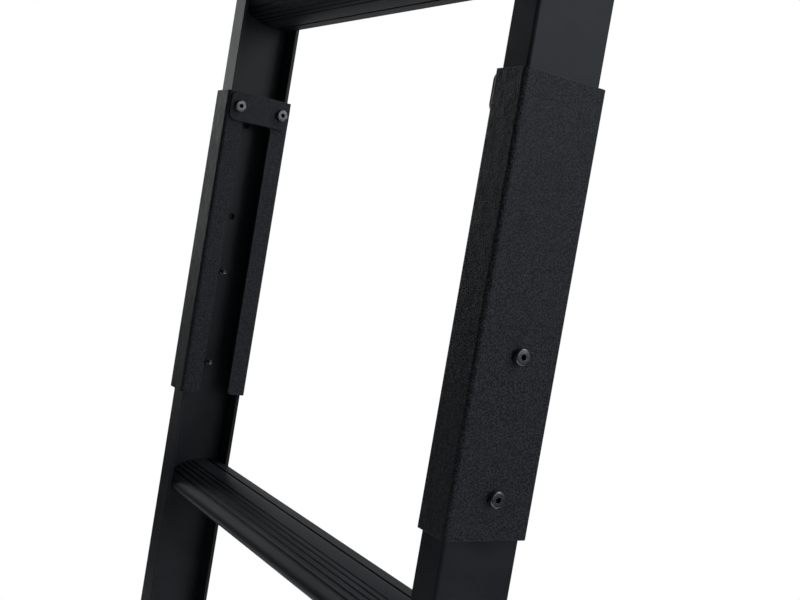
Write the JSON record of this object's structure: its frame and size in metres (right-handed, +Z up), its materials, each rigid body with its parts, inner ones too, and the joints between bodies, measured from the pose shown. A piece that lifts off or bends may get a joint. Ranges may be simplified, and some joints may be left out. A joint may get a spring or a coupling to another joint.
{
  "type": "roof rack ladder",
  "caption": "Two-section black vehicle ladder whose upper half slips into lipped sleeves on the lower half, with grooved D-section treads, rubber feet and rack hooks",
  "frame": {"origin": "middle of the left foot's sole, on the ground", "axes": "+X along the treads from the left stile to the right one, +Y from the climber to what the ladder leans on, +Z up the stiles"},
  "size_m": [0.3078, 0.103, 1.841],
  "materials": {
    "stile_black": "satin black coat on extruded aluminium",
    "tread_black": "satin black coat on extruded aluminium, grooved",
    "sleeve_powder_coat": "fine-textured black powder coat on steel sheet",
    "screw_steel": "blackened steel socket heads with bright edges",
    "foot_rubber": "matt black moulded rubber"
  },
  "bodies": {
    "lower_section": {"lower_stile_left": "stile_black", "lower_stile_right": "stile_black", "tread_1": "tread_black", "tread_2": "tread_black", "tread_3": "tread_black", "sleeve_left": "sleeve_powder_coat", "sleeve_right": "sleeve_powder_coat", "strap_left": "sleeve_powder_coat", "strap_right": "sleeve_powder_coat", "sleeve_screws_left": "screw_steel", "sleeve_screws_right": "screw_steel", "strap_screws_left": "screw_steel", "strap_screws_right": "screw_steel", "foot_left": "foot_rubber", "foot_right": "foot_rubber"},
    "upper_section": {"upper_stile_left": "stile_black", "upper_stile_right": "stile_black", "tread_4": "tread_black", "tread_5": "tread_black", "tread_6": "tread_black", "hook_left": "sleeve_powder_coat", "hook_right": "sleeve_powder_coat", "hook_screws_left": "screw_steel", "hook_screws_right": "screw_steel", "hook_pad_left": "foot_rubber", "hook_pad_right": "foot_rubber"}
  },
  "joints": [
    {"name": "upper_section_lift", "type": "slide", "parent": "lower_section", "child": "upper_section", "axis": [0, 0, 1], "range_m": [0, 0.12]}
  ]
}
